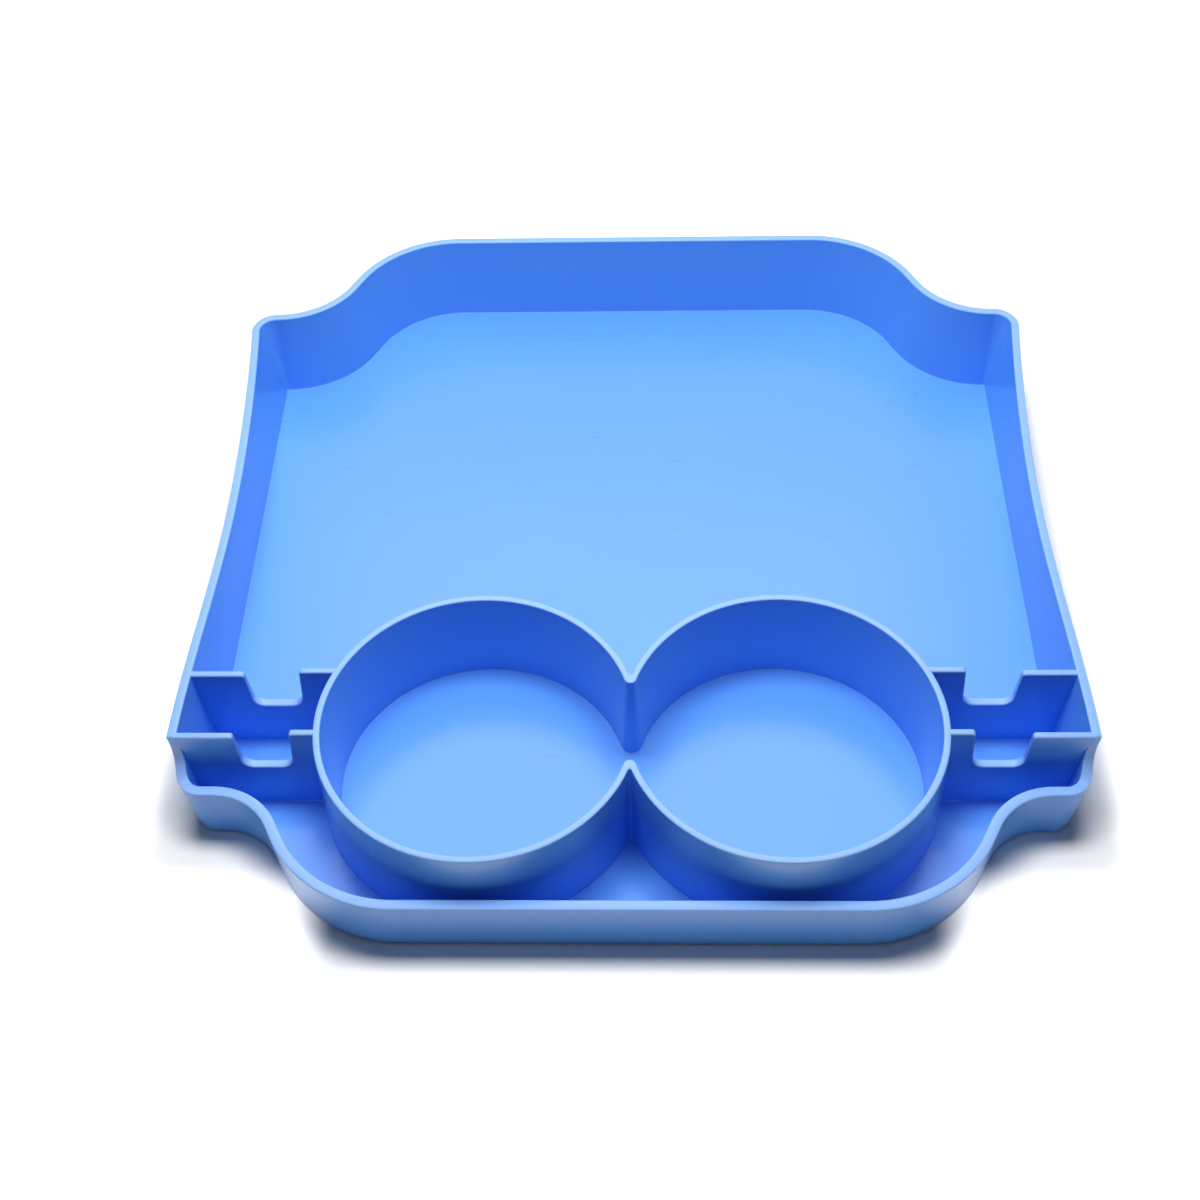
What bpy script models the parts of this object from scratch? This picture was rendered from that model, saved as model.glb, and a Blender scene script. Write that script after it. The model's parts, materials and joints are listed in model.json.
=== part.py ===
"""Beach bag tray insert: a blue moulded tray with two cup wells and four notched dividers.

The tray is one moulding. It is modelled as the regions that a mould maker would name: floor,
outer walls, cup wells and dividers. Each is one closed solid, a hair apart from its neighbours.
X points right, Y to the rear and Z up, and the origin is under the middle of the tray. Sizes are
in millimetres, and become metres where a mesh is made.
"""
import math
from typing import NamedTuple

import bmesh
import bpy
from mathutils import Vector

MM = 0.001
GAP = 0.3                     # clearance between neighbouring solids
CUT_MARGIN = 2.0              # how far a cutter passes the surfaces that it cuts
FACET = 8.0                   # most that a curved wall turns at one facet, in degrees

# Heights above the table
FLOOR_THICKNESS = 2.5
OUTER_RIM = 37.0              # rear and side walls, and the divider ends beside them
FRONT_RIM = 22.6              # low front wall
WELL_RIM = 38.7               # cup wells, and the divider ends beside them

# Outer walls
WALL = 3.1
REAR_Y = 153.5
FRONT_Y = -153.5              # at the low front rim
REAR_STRAIGHT = 72.0          # half-length of the straight rear wall
FRONT_STRAIGHT = 72.6         # half-length of the straight front wall
WAIST_Y = -2.0                # where the two side rims come closest together
SIDE_PULL = 0.33              # share of a side's half over which it keeps its end direction
REAR_LEAN = 0.62              # share of the way in to the waist that it leans meanwhile, from the rear
SIDE_FACETS = 6               # from each end of a side to the waist
STEP_RADIUS = 10.5            # hollow curve where the side wall drops to the low front rim
STEP_FACETS = 3               # from the step to the front corner


class Ogee(NamedTuple):
    """S-shaped bend in plan, from a straight wall to the shoulder beside a corner."""

    bulge_radius: float
    turn: float
    straight: float
    hollow_radius: float


REAR_OGEE = Ogee(bulge_radius=44.5, turn=64.0, straight=6.0, hollow_radius=30.0)
FRONT_OGEE = Ogee(bulge_radius=45.8, turn=62.5, straight=5.9, hollow_radius=21.2)


class Outline(NamedTuple):
    """Outer face of the walls at one height: insets, half-widths, corner radii, step's place."""

    rear_inset: float
    front_inset: float
    rear_half: float
    waist_half: float
    front_half: float
    rear_corner: float
    front_corner: float
    step_ahead: float


# Cup wells
WELL_X = 49.2
WELL_Y = -94.0
WELL_RIM_INNER = 50.0         # inside radius at the rim
WELL_RIM_OUTER = 52.25
WELL_FOOT_INNER = 48.1        # inside radius at the floor
WELL_FOOT_OUTER = 53.2
WELL_GAP_HALF = 14.5          # half of the opening between the two wells
WELL_SIDES = 72

# Dividers
REAR_DIVIDER_Y = -73.6
FRONT_DIVIDER_Y = -98.4
DIVIDER_TOP = 2.25            # thickness at the top
DIVIDER_FOOT = 4.9            # thickness at the floor
DIVIDER_INNER_END = 92.0      # inside the well's wall, which the end is cut to
NOTCH_OUTER_TOP = 127.3
NOTCH_OUTER_FOOT = 126.5
NOTCH_INNER_TOP = 109.0
NOTCH_INNER_FOOT = 109.8
NOTCH_FLOOR = 21.3            # height of the notch's lower edge
NOTCH_RADIUS = 4.0

# Outer faces on the table, and at the height of the outer rim. The front walls slope out to the
# second one too, but are cut off low, at the front rim.
FOOT = Outline(rear_inset=3.9, front_inset=1.3, rear_half=145.35, waist_half=145.35,
               front_half=144.7, rear_corner=3.75, front_corner=7.6, step_ahead=DIVIDER_FOOT / 2)
RIM = Outline(rear_inset=0.0, front_inset=-0.83, rear_half=150.8, waist_half=145.0,
              front_half=148.7, rear_corner=9.2, front_corner=9.0, step_ahead=DIVIDER_TOP / 2)

# Worked out from the sizes above
STANDS_AT = FLOOR_THICKNESS + GAP
WELL_DRAFT = (WELL_FOOT_OUTER - WELL_RIM_OUTER) / (WELL_RIM - STANDS_AT)
WELL_OVERLAP = WELL_FOOT_OUTER - WELL_X

BLUE = (0.19, 0.43, 1.0, 1.0)
SATIN_ROUGHNESS = 0.42
SAME_POINT = 0.01             # points closer than this are one
SIDES = {"right": 1.0, "left": -1.0}


def clear_scene():
    """Remove everything that a new file starts with."""
    for old in list(bpy.data.objects):
        bpy.data.objects.remove(old, do_unlink=True)


def new_collection(name):
    """A collection linked into the scene."""
    made = bpy.data.collections.new(name)
    bpy.context.scene.collection.children.link(made)
    return made


def plastic(name):
    """Satin moulded plastic in the tray's blue."""
    made = bpy.data.materials.new(name)
    made.use_nodes = True
    shader = made.node_tree.nodes["Principled BSDF"]
    shader.inputs["Base Color"].default_value = BLUE
    shader.inputs["Roughness"].default_value = SATIN_ROUGHNESS
    shader.inputs["Metallic"].default_value = 0.0
    return made


def add_part(name, data, parts):
    """An object of the tray, in its own plastic."""
    data.materials.append(plastic(name + "_plastic"))
    made = bpy.data.objects.new(name, data)
    parts.objects.link(made)
    return made


def add_cutter(name, data, cutters):
    """A cutting body, shown as wire and left out of the model."""
    made = bpy.data.objects.new(name, data)
    cutters.objects.link(made)
    made.hide_render = True
    made.display_type = "WIRE"
    return made


def cut(target, cutter):
    """Subtract a cutter from a part."""
    step = target.modifiers.new(cutter.name, "BOOLEAN")
    step.operation = "DIFFERENCE"
    step.solver = "EXACT"
    step.object = cutter


def mesh_from(bm, name):
    """A mesh from a bmesh, with its faces turned outwards."""
    bmesh.ops.recalc_face_normals(bm, faces=bm.faces)
    mesh = bpy.data.meshes.new(name)
    bm.to_mesh(mesh)
    bm.free()
    return mesh


def box_mesh(name, low, high):
    """A plain box between two corners."""
    bm = bmesh.new()
    bmesh.ops.create_cube(bm, size=1.0)
    bmesh.ops.scale(bm, vec=(Vector(high) - Vector(low)) * MM, verts=bm.verts)
    bmesh.ops.translate(bm, vec=(Vector(high) + Vector(low)) / 2 * MM, verts=bm.verts)
    return mesh_from(bm, name)


def outline_curve(name, points, thickness):
    """A filled flat outline with a thickness, centred on its own plane."""
    curve = bpy.data.curves.new(name, "CURVE")
    curve.dimensions = "2D"
    curve.fill_mode = "BOTH"
    curve.extrude = thickness / 2 * MM
    spline = curve.splines.new("POLY")
    spline.points.add(len(points) - 1)
    for knot, point in zip(spline.points, points):
        knot.co = (point.x * MM, point.y * MM, 0.0, 1.0)
    spline.use_cyclic_u = True
    return curve


def arc(centre, radius, start, end):
    """Points of an arc, both ends included, in facets of FACET degrees or less."""
    count = math.ceil(abs(end - start) / FACET)
    angles = [math.radians(start + (end - start) * i / count) for i in range(count + 1)]
    return [centre + radius * Vector((math.cos(a), math.sin(a))) for a in angles]


def ogee_and_corner(start_x, straight_y, shape, inset, half_width, corner_radius):
    """Outer face of the rear right ogee, moved inwards by an inset, and the corner after it."""
    turn = math.radians(shape.turn)
    outwards = Vector((math.sin(turn), math.cos(turn)))
    along = Vector((math.cos(turn), -math.sin(turn)))
    bulge_centre = Vector((start_x, straight_y - shape.bulge_radius))
    between = outwards * (shape.bulge_radius + shape.hollow_radius) + along * shape.straight
    hollow_centre = bulge_centre + between
    bulge = arc(bulge_centre, shape.bulge_radius - inset, 90.0, 90.0 - shape.turn)
    hollow = arc(hollow_centre, shape.hollow_radius + inset, 270.0 - shape.turn, 270.0)
    corner_centre = Vector((half_width - corner_radius, hollow[-1].y - corner_radius))
    return bulge + hollow + arc(corner_centre, corner_radius, 90.0, 0.0)


def side_half(end, waist, lean):
    """Curve along a side from one end to the waist, where it runs parallel to Y."""
    along = Vector((0.0, (waist.y - end.y) * SIDE_PULL))
    across = Vector(((waist.x - end.x) * lean, 0.0))
    points = []
    for i in range(SIDE_FACETS + 1):
        t = i / SIDE_FACETS
        u = 1.0 - t
        nearer_end = end * u ** 3 + (end + along + across) * 3 * t * u * u
        points.append(nearer_end + (waist - along) * 3 * t * t * u + waist * t ** 3)
    return points


def mirrored_in_y(points):
    """The same points on the front half, in the reverse order."""
    return [Vector((p.x, -p.y)) for p in reversed(points)]


class Line(NamedTuple):
    """Plan line of the right half in three runs, which share their end points."""

    rear_corner: list
    side: list
    front_corner: list


def outer_line(level):
    """Outer face of the right half at one level, from the rear wall round to the front wall."""
    rear = ogee_and_corner(REAR_STRAIGHT, REAR_Y, REAR_OGEE, level.rear_inset,
                           level.rear_half, level.rear_corner)
    front = mirrored_in_y(ogee_and_corner(FRONT_STRAIGHT, -FRONT_Y, FRONT_OGEE, level.front_inset,
                                          level.front_half, level.front_corner))
    waist = Vector((level.waist_half, WAIST_Y))
    step = Vector((level.front_half, FRONT_DIVIDER_Y - level.step_ahead))
    side = side_half(rear[-1], waist, REAR_LEAN) + side_half(step, waist, 0.0)[-2::-1]
    stub = [step.lerp(front[0], i / STEP_FACETS) for i in range(STEP_FACETS)]
    return Line(rear, side, stub + front)


def moved_inwards(points, before, after):
    """A run moved inwards by the wall's thickness, given the points next to its ends."""
    padded = [before] + points + [after]
    moved = []
    for previous, point, following in zip(padded, padded[1:], padded[2:]):
        along = (point - previous).normalized() + (following - point).normalized()
        inwards = Vector((along.y, -along.x)).normalized()
        moved.append(point + inwards * WALL)
    return moved


def inner_line(outer):
    """Inner face of the walls that have this outer face."""
    rear_middle = Vector((0.0, outer.rear_corner[0].y))
    front_middle = Vector((0.0, outer.front_corner[-1].y))
    return Line(
        moved_inwards(outer.rear_corner, rear_middle, outer.side[1]),
        moved_inwards(outer.side, outer.rear_corner[-2], outer.front_corner[1]),
        moved_inwards(outer.front_corner, outer.side[-2], front_middle),
    )


def trimmed(points):
    """A run made shorter by half of the clearance at both ends."""
    first = (points[1] - points[0]).normalized() * GAP / 2
    last = (points[-2] - points[-1]).normalized() * GAP / 2
    return [points[0] + first] + points[1:-1] + [points[-1] + last]


def rim_height(rim):
    """Height of the walls: full beside the compartments, low round the front."""
    ahead = FRONT_DIVIDER_Y - RIM.step_ahead - rim.y
    if ahead <= 0.0:
        return OUTER_RIM
    if ahead >= STEP_RADIUS:
        return FRONT_RIM
    return FRONT_RIM + STEP_RADIUS - math.sqrt(STEP_RADIUS ** 2 - (STEP_RADIUS - ahead) ** 2)


def on_face(foot, rim, height):
    """Point of a slanted wall face at a height, in metres."""
    place = foot.lerp(rim, height / OUTER_RIM)
    return Vector((place.x, place.y, height)) * MM


def add_wall(name, lines, mirror, parts):
    """A wall lofted between its foot and rim lines, outer and inner."""
    bm = bmesh.new()
    rings = []
    for outer_foot, outer_rim, inner_rim, inner_foot in zip(*lines):
        section = [
            on_face(outer_foot, outer_rim, STANDS_AT),
            on_face(outer_foot, outer_rim, rim_height(outer_rim)),
            on_face(inner_foot, inner_rim, rim_height(inner_rim)),
            on_face(inner_foot, inner_rim, STANDS_AT),
        ]
        rings.append([bm.verts.new((p.x * mirror, p.y, p.z)) for p in section])
    for ring, following in zip(rings, rings[1:]):
        for i in range(4):
            j = (i + 1) % 4
            bm.faces.new((ring[i], ring[j], following[j], following[i]))
    bm.faces.new(rings[0])
    bm.faces.new(rings[-1])
    add_part(name, mesh_from(bm, name), parts)


def straight_run(half_length, y):
    """A straight wall line across the middle, trimmed at both ends."""
    return trimmed([Vector((-half_length, y)), Vector((half_length, y))])


def add_straight_wall(name, corners, end, parts):
    """The rear or front wall, between the two corner walls whose lines are given."""
    lines = [straight_run(run[end].x, run[end].y) for run in corners]
    add_wall(name, lines, 1.0, parts)


def add_floor(foot, parts):
    """The flat floor, out to the foot of the outer walls."""
    right = foot.rear_corner + foot.side[1:-1] + foot.front_corner
    left = [Vector((-p.x, p.y)) for p in reversed(right)]
    made = add_part("floor_panel", outline_curve("floor_panel", right + left, FLOOR_THICKNESS), parts)
    made.location.z = FLOOR_THICKNESS / 2 * MM


def profile_mesh(name, profile):
    """A closed profile in X and Z, ready to be turned round Z."""
    bm = bmesh.new()
    corners = [bm.verts.new((x * MM, 0.0, z * MM)) for x, z in profile]
    for first, second in zip(corners, corners[1:] + corners[:1]):
        bm.edges.new((first, second))
    mesh = bpy.data.meshes.new(name)
    bm.to_mesh(mesh)
    bm.free()
    return mesh


def turn(made):
    """Turn a profile all the way round Z."""
    step = made.modifiers.new("turn", "SCREW")
    step.steps = WELL_SIDES
    step.render_steps = WELL_SIDES
    step.use_merge_vertices = True
    step.merge_threshold = SAME_POINT * MM


def add_well(side, cutters, gap_cutter, parts):
    """A round tapered cup well, cut where it meets and opens into the other one."""
    profile = [(WELL_RIM_INNER, WELL_RIM), (WELL_RIM_OUTER, WELL_RIM),
               (WELL_FOOT_OUTER, STANDS_AT), (WELL_FOOT_INNER, STANDS_AT)]
    name = side + "_cup_well"
    made = add_part(name, profile_mesh(name, profile), parts)
    made.location = (SIDES[side] * WELL_X * MM, WELL_Y * MM, 0.0)
    turn(made)
    ends = sorted((SIDES[side] * GAP / 2, -SIDES[side] * (WELL_OVERLAP + CUT_MARGIN)))
    low = (ends[0], WELL_Y - WELL_FOOT_OUTER, 0.0)
    high = (ends[1], WELL_Y + WELL_FOOT_OUTER, WELL_RIM + CUT_MARGIN)
    cut(made, add_cutter(side + "_well_end_cutter", box_mesh("well_end", low, high), cutters))
    cut(made, gap_cutter)


def divider_outline(outer_foot, outer_top):
    """Front view of a right divider, with its notch. The inner end runs into the cup well."""
    notch_outer = Vector((NOTCH_OUTER_FOOT - NOTCH_RADIUS, NOTCH_FLOOR + NOTCH_RADIUS))
    notch_inner = Vector((NOTCH_INNER_FOOT + NOTCH_RADIUS, NOTCH_FLOOR + NOTCH_RADIUS))
    return [
        Vector((DIVIDER_INNER_END, STANDS_AT)),
        Vector((outer_foot, STANDS_AT)),
        Vector((outer_top, OUTER_RIM)),
        Vector((NOTCH_OUTER_TOP, OUTER_RIM)),
        *arc(notch_outer, NOTCH_RADIUS, 0.0, -90.0),
        *arc(notch_inner, NOTCH_RADIUS, -90.0, -180.0),
        Vector((NOTCH_INNER_TOP, WELL_RIM)),
        Vector((DIVIDER_INNER_END, WELL_RIM)),
    ]


def width_at(run, y):
    """Half-width of the tray where a side run crosses y."""
    for nearer_rear, nearer_front in zip(run, run[1:]):
        if nearer_rear.y >= y >= nearer_front.y:
            share = (nearer_rear.y - y) / (nearer_rear.y - nearer_front.y)
            return nearer_rear.lerp(nearer_front, share).x
    return run[-1].x


def clear_width(run, y, thickness):
    """Half-width that a divider of this thickness can have and clear the side wall."""
    return min(width_at(run, y + thickness / 2), width_at(run, y - thickness / 2)) - GAP


def divider_mesh(name, points):
    """A standing plate from its front view, thinner at the top than at the floor."""
    curve = bpy.data.objects.new(name + "_outline", outline_curve(name, points, DIVIDER_FOOT))
    bpy.context.scene.collection.objects.link(curve)
    bpy.context.view_layer.update()
    flat = bpy.data.meshes.new_from_object(curve.evaluated_get(bpy.context.evaluated_depsgraph_get()))
    bpy.data.objects.remove(curve, do_unlink=True)
    bm = bmesh.new()
    bm.from_mesh(flat)
    bmesh.ops.remove_doubles(bm, verts=bm.verts, dist=SAME_POINT * MM)
    for corner in bm.verts:
        share = (corner.co.y / MM - STANDS_AT) / (WELL_RIM - STANDS_AT)
        thickness = DIVIDER_FOOT + (DIVIDER_TOP - DIVIDER_FOOT) * share
        corner.co.z *= thickness / DIVIDER_FOOT
    return mesh_from(bm, name)


def add_divider(name, side, y, points, well_space, parts):
    """A notched divider from a cup well to the side wall."""
    mirrored = [Vector((SIDES[side] * p.x, p.y)) for p in points]
    made = add_part(name, divider_mesh(name, mirrored), parts)
    made.location.y = y * MM
    made.rotation_euler.x = math.radians(90.0)
    cut(made, well_space)


def add_well_space(side, cutters):
    """The space that a cup well fills, with its clearance, for cutting the dividers' ends."""
    bm = bmesh.new()
    wider = GAP + CUT_MARGIN * WELL_DRAFT
    narrower = GAP - CUT_MARGIN * WELL_DRAFT
    bmesh.ops.create_cone(bm, cap_ends=True, segments=WELL_SIDES,
                          radius1=(WELL_FOOT_OUTER + wider) * MM,
                          radius2=(WELL_RIM_OUTER + narrower) * MM,
                          depth=(WELL_RIM - STANDS_AT + 2 * CUT_MARGIN) * MM)
    middle = (SIDES[side] * WELL_X, WELL_Y, (WELL_RIM + STANDS_AT) / 2)
    bmesh.ops.translate(bm, vec=Vector(middle) * MM, verts=bm.verts)
    return add_cutter(side + "_well_space", mesh_from(bm, side + "_well_space"), cutters)


def build_walls(parts):
    """Outer walls and floor. Returns the inner faces at the foot and at the rim."""
    outer_foot = outer_line(FOOT)
    outer_rim = outer_line(RIM)
    inner_foot = inner_line(outer_foot)
    inner_rim = inner_line(outer_rim)
    levels = (outer_foot, outer_rim, inner_rim, inner_foot)
    add_floor(outer_foot, parts)
    add_straight_wall("rear_wall", [line.rear_corner for line in levels], 0, parts)
    add_straight_wall("front_wall", [line.front_corner for line in levels], -1, parts)
    for side, mirror in SIDES.items():
        rear_runs = [trimmed(line.rear_corner) for line in levels]
        side_runs = [trimmed(line.side) for line in levels]
        front_runs = [trimmed(line.front_corner) for line in levels]
        add_wall(side + "_rear_corner", rear_runs, mirror, parts)
        add_wall(side + "_side_wall", side_runs, mirror, parts)
        add_wall(side + "_front_corner", front_runs, mirror, parts)
    return inner_foot, inner_rim


def build_wells(parts, cutters):
    """Both cup wells, open to each other."""
    reach = WELL_OVERLAP + CUT_MARGIN
    low = (-reach, WELL_Y - WELL_GAP_HALF, 0.0)
    high = (reach, WELL_Y + WELL_GAP_HALF, WELL_RIM + CUT_MARGIN)
    gap_cutter = add_cutter("well_gap_cutter", box_mesh("well_gap", low, high), cutters)
    for side in SIDES:
        add_well(side, cutters, gap_cutter, parts)


def build_dividers(parts, cutters, inner_foot, inner_rim):
    """Two notched dividers on each side of the wells."""
    for side in SIDES:
        well_space = add_well_space(side, cutters)
        for place, y in (("rear", REAR_DIVIDER_Y), ("front", FRONT_DIVIDER_Y)):
            outer_foot = clear_width(inner_foot.side, y, DIVIDER_FOOT)
            outer_top = clear_width(inner_rim.side, y, DIVIDER_TOP)
            points = divider_outline(outer_foot, outer_top)
            add_divider(side + "_" + place + "_divider", side, y, points, well_space, parts)


def main():
    """Build the whole tray."""
    clear_scene()
    parts = new_collection("beach_bag_tray_insert")
    cutters = new_collection("cutters")
    inner_foot, inner_rim = build_walls(parts)
    build_wells(parts, cutters)
    build_dividers(parts, cutters, inner_foot, inner_rim)


main()
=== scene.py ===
"""Beach bag tray insert: the looks of a blue moulded tray with cup wells and notched dividers.

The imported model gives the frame. Each region of the moulding is swept here as a fine closed
surface with the rounded rims and foot fillets of a real moulding, and all of them share one satin
plastic. The tray's sizes are in millimetres and become metres where a vertex is placed, and those
of the studio and the camera are in metres. X points right, Y to the rear and Z up.
"""
from __future__ import annotations

import json
import logging
import math
from dataclasses import dataclass, field
from enum import Enum
from typing import Callable, Sequence

import bmesh
import bpy
from mathutils import Matrix, Vector

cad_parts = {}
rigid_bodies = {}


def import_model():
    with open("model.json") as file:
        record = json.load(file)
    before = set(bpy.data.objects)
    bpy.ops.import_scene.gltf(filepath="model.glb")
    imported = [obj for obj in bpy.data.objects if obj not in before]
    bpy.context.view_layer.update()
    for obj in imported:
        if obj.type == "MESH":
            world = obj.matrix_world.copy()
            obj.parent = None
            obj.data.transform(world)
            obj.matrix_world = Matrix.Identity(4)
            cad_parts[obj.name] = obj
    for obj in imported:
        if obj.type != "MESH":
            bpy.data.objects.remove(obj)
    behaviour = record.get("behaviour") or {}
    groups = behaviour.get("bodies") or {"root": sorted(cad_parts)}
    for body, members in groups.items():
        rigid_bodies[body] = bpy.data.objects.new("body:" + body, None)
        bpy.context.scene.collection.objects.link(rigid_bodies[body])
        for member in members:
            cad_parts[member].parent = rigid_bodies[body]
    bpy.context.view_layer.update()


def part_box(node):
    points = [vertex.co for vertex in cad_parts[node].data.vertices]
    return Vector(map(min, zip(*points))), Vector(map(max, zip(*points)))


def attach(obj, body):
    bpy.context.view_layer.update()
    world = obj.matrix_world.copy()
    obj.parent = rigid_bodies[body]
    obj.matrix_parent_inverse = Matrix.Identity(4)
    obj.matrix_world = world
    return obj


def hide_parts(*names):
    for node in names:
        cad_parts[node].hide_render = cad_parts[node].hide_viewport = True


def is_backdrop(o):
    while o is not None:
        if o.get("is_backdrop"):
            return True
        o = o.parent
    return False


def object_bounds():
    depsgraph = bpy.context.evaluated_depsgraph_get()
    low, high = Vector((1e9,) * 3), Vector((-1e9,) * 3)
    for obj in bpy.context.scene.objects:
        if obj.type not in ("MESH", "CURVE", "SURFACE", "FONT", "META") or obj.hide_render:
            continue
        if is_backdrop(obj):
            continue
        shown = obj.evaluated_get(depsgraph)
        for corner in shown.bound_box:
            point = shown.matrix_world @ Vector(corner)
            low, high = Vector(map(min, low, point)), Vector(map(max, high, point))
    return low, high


MM = 0.001
BODY = "root"
FLOOR_TOP = 2.5               # height of the floor's top, the same in every compartment
DIVIDER_PLACES = {"rear": -73.6, "front": -98.4}     # Y of the dividers' middle planes
SHARP_EDGE = 50.0             # an edge that turns more than this many degrees stays crisp
SAME_POINT = 0.002            # points closer than this are one
HIDDEN_DEPTH = 0.3            # how far a foot reaches under the floor's top
FEATHER = 0.3                 # flat lip at the end of a fillet, which blends it into the floor
FEATHER_LIFT = 0.005          # height of that lip above the floor
SUPPORT = 0.25                # width of the narrow strip that keeps a flat face flat beside a round
ROUND_STEPS = 5               # facets of an edge round
FILLET_STEPS = 5              # facets of a foot fillet
RIM_HIGHLIGHT_RISE = 2.0               # the painted highlight on a rim is full halfway round its edge
# vertex layer that carries the rims' painted highlight, a paler colour in place of the sheen they
# catch
RIM_HIGHLIGHT_LAYER = "rim_painted_highlight"
MIX_SHARE, MIX_FROM, MIX_TO = 0, 6, 7      # a Mix node's inputs, where it mixes colours
MIX_RESULT = 2                # and its output

log = logging.getLogger("tray")


class Side(Enum):
    """Right or left half of the tray, with the sign of its X."""

    RIGHT = 1.0
    LEFT = -1.0

    @property
    def label(self) -> str:
        """Lower-case name, as the nodes have it."""
        return self.name.lower()


class Face(Enum):
    """Which face of a wall a point of its section is measured from."""

    OUTER = "outer"
    INNER = "inner"


@dataclass(frozen=True)
class SectionPoint:
    """One corner of a wall's section.

    It lies a distance into the material from one face, and hangs a depth below the rim or
    stands at a height over the table. Its painted highlight is 1 on a rim's top, which is painted
    paler in place of the sheen it catches, and 0 elsewhere.
    """

    face: Face
    inset: float
    depth: float | None = None
    height: float | None = None
    # share of the paler colour painted on a rim's top as a highlight
    painted_highlight: float = 0.0


def edge_round(face: Face, radius: float) -> list[SectionPoint]:
    """Round between a face and the rim, from the face up to the rim.

    Args:
        face: The face that it starts from.
        radius: Radius of the round.

    Returns:
        Section points, with a support point below the round and one on the flat rim.
    """
    points = [SectionPoint(face, 0.0, depth=radius + SUPPORT)]
    for i in range(ROUND_STEPS + 1):
        angle = math.pi / 2 * i / ROUND_STEPS
        # the flat top and the upper half of the round get the painted highlight
        points.append(SectionPoint(face, radius * (1 - math.cos(angle)),
                                   depth=radius * (1 - math.sin(angle)),
                                   painted_highlight=min(1.0, RIM_HIGHLIGHT_RISE * i / ROUND_STEPS)))
    return points


def foot_fillet(face: Face, radius: float) -> list[SectionPoint]:
    """Hollow fillet between a face and the floor, from the face down to under the floor's top.

    Args:
        face: The face that it starts from.
        radius: Radius of the fillet.

    Returns:
        Section points down to the hidden edge.
    """
    lip = FLOOR_TOP + FEATHER_LIFT
    points = [SectionPoint(face, 0.0, height=FLOOR_TOP + radius + SUPPORT)]
    for i in range(FILLET_STEPS + 1):
        angle = math.pi / 2 * i / FILLET_STEPS
        points.append(SectionPoint(face, -radius * (1 - math.cos(angle)),
                                   height=lip + radius * (1 - math.sin(angle))))
    reach = -radius - FEATHER
    points.append(SectionPoint(face, reach, height=lip))
    points.append(SectionPoint(face, reach, height=FLOOR_TOP - HIDDEN_DEPTH))
    return points


def over_rim(radius: float) -> list[SectionPoint]:
    """Section points over a rim from its outer to its inner face, with a round on each edge."""
    return edge_round(Face.OUTER, radius) + edge_round(Face.INNER, radius)[::-1]


def standing_section(rim_round: float, fillet: float) -> list[SectionPoint]:
    """Section of a wall that has the floor on both sides, from its outer to its inner foot."""
    outer_foot = foot_fillet(Face.OUTER, fillet)[::-1]
    return outer_foot + over_rim(rim_round) + foot_fillet(Face.INNER, fillet)


@dataclass(frozen=True)
class Sweep:
    """A closed section carried along stations, by extruding it from one to the next.

    Its place function gives the point, in millimetres, of a corner of the section at a station.
    """

    name: str
    stations: int
    section: Sequence[SectionPoint]
    place: Callable[[int, SectionPoint], Vector]

    def build(self, joined: bool) -> bpy.types.Object:
        """Extrude the section and close the surface.

        Args:
            joined: True where the last station meets the first; otherwise both ends are capped.

        Returns:
            The finished piece, at the origin.
        """
        bm = bmesh.new()
        corner = bm.verts.layers.int.new("corner")
        # layer for the rims' painted highlight, which the material reads
        painted_highlight = bm.verts.layers.float.new(RIM_HIGHLIGHT_LAYER)
        first = bmesh.ops.create_circle(bm, cap_ends=False, segments=len(self.section),
                                        radius=1.0)
        for index, vertex in enumerate(first["verts"]):
            vertex[corner] = index
            vertex[painted_highlight] = self.section[index].painted_highlight
            vertex.co = self.place(0, self.section[index]) * MM
        edges = list(bm.edges)
        start = list(edges)
        stops = list(range(1, self.stations)) + ([0] if joined else [])
        for station in stops:
            grown = bmesh.ops.extrude_edge_only(bm, edges=edges)["geom"]
            for vertex in (g for g in grown if isinstance(g, bmesh.types.BMVert)):
                vertex.co = self.place(station, self.section[vertex[corner]]) * MM
            edges = [g for g in grown if isinstance(g, bmesh.types.BMEdge)
                     and all(v in grown for v in g.verts)]
        if joined:
            bmesh.ops.remove_doubles(bm, verts=bm.verts, dist=SAME_POINT * MM)
        else:
            bmesh.ops.edgeloop_fill(bm, edges=start)
            bmesh.ops.edgeloop_fill(bm, edges=edges)
        return finished_piece(self.name, bm)


def add_object(name: str, data: bpy.types.ID) -> bpy.types.Object:
    """Make an object of a mesh, lamp or camera, and link it to the scene.

    Args:
        name: Name of the object.
        data: What it shows.

    Returns:
        The object, at the origin.
    """
    made = bpy.data.objects.new(name, data)
    bpy.context.scene.collection.objects.link(made)
    return made


def finished_piece(name: str, bm: bmesh.types.BMesh) -> bpy.types.Object:
    """Make the object of a piece from its bmesh, with faces outwards and smooth rounds.

    Args:
        name: Name of the piece.
        bm: The closed surface, in metres; it is freed.

    Returns:
        The object, linked to the scene.
    """
    bmesh.ops.recalc_face_normals(bm, faces=bm.faces)
    mesh = bpy.data.meshes.new(name)
    bm.to_mesh(mesh)
    bm.free()
    mesh.shade_smooth()
    mesh.set_sharp_from_angle(angle=math.radians(SHARP_EDGE))
    return add_object(name, mesh)


def arc(centre: Vector, radius: float, start: float, end: float, facet: float) -> list[Vector]:
    """Points of an arc in plan, both ends included.

    Args:
        centre: Its centre.
        radius: Its radius.
        start: First angle, in degrees.
        end: Last angle, in degrees.
        facet: Most that one facet turns, in degrees.

    Returns:
        The points in order.
    """
    count = math.ceil(abs(end - start) / facet)
    angles = [math.radians(start + (end - start) * i / count) for i in range(count + 1)]
    return [centre + radius * Vector((math.cos(a), math.sin(a))) for a in angles]


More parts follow.
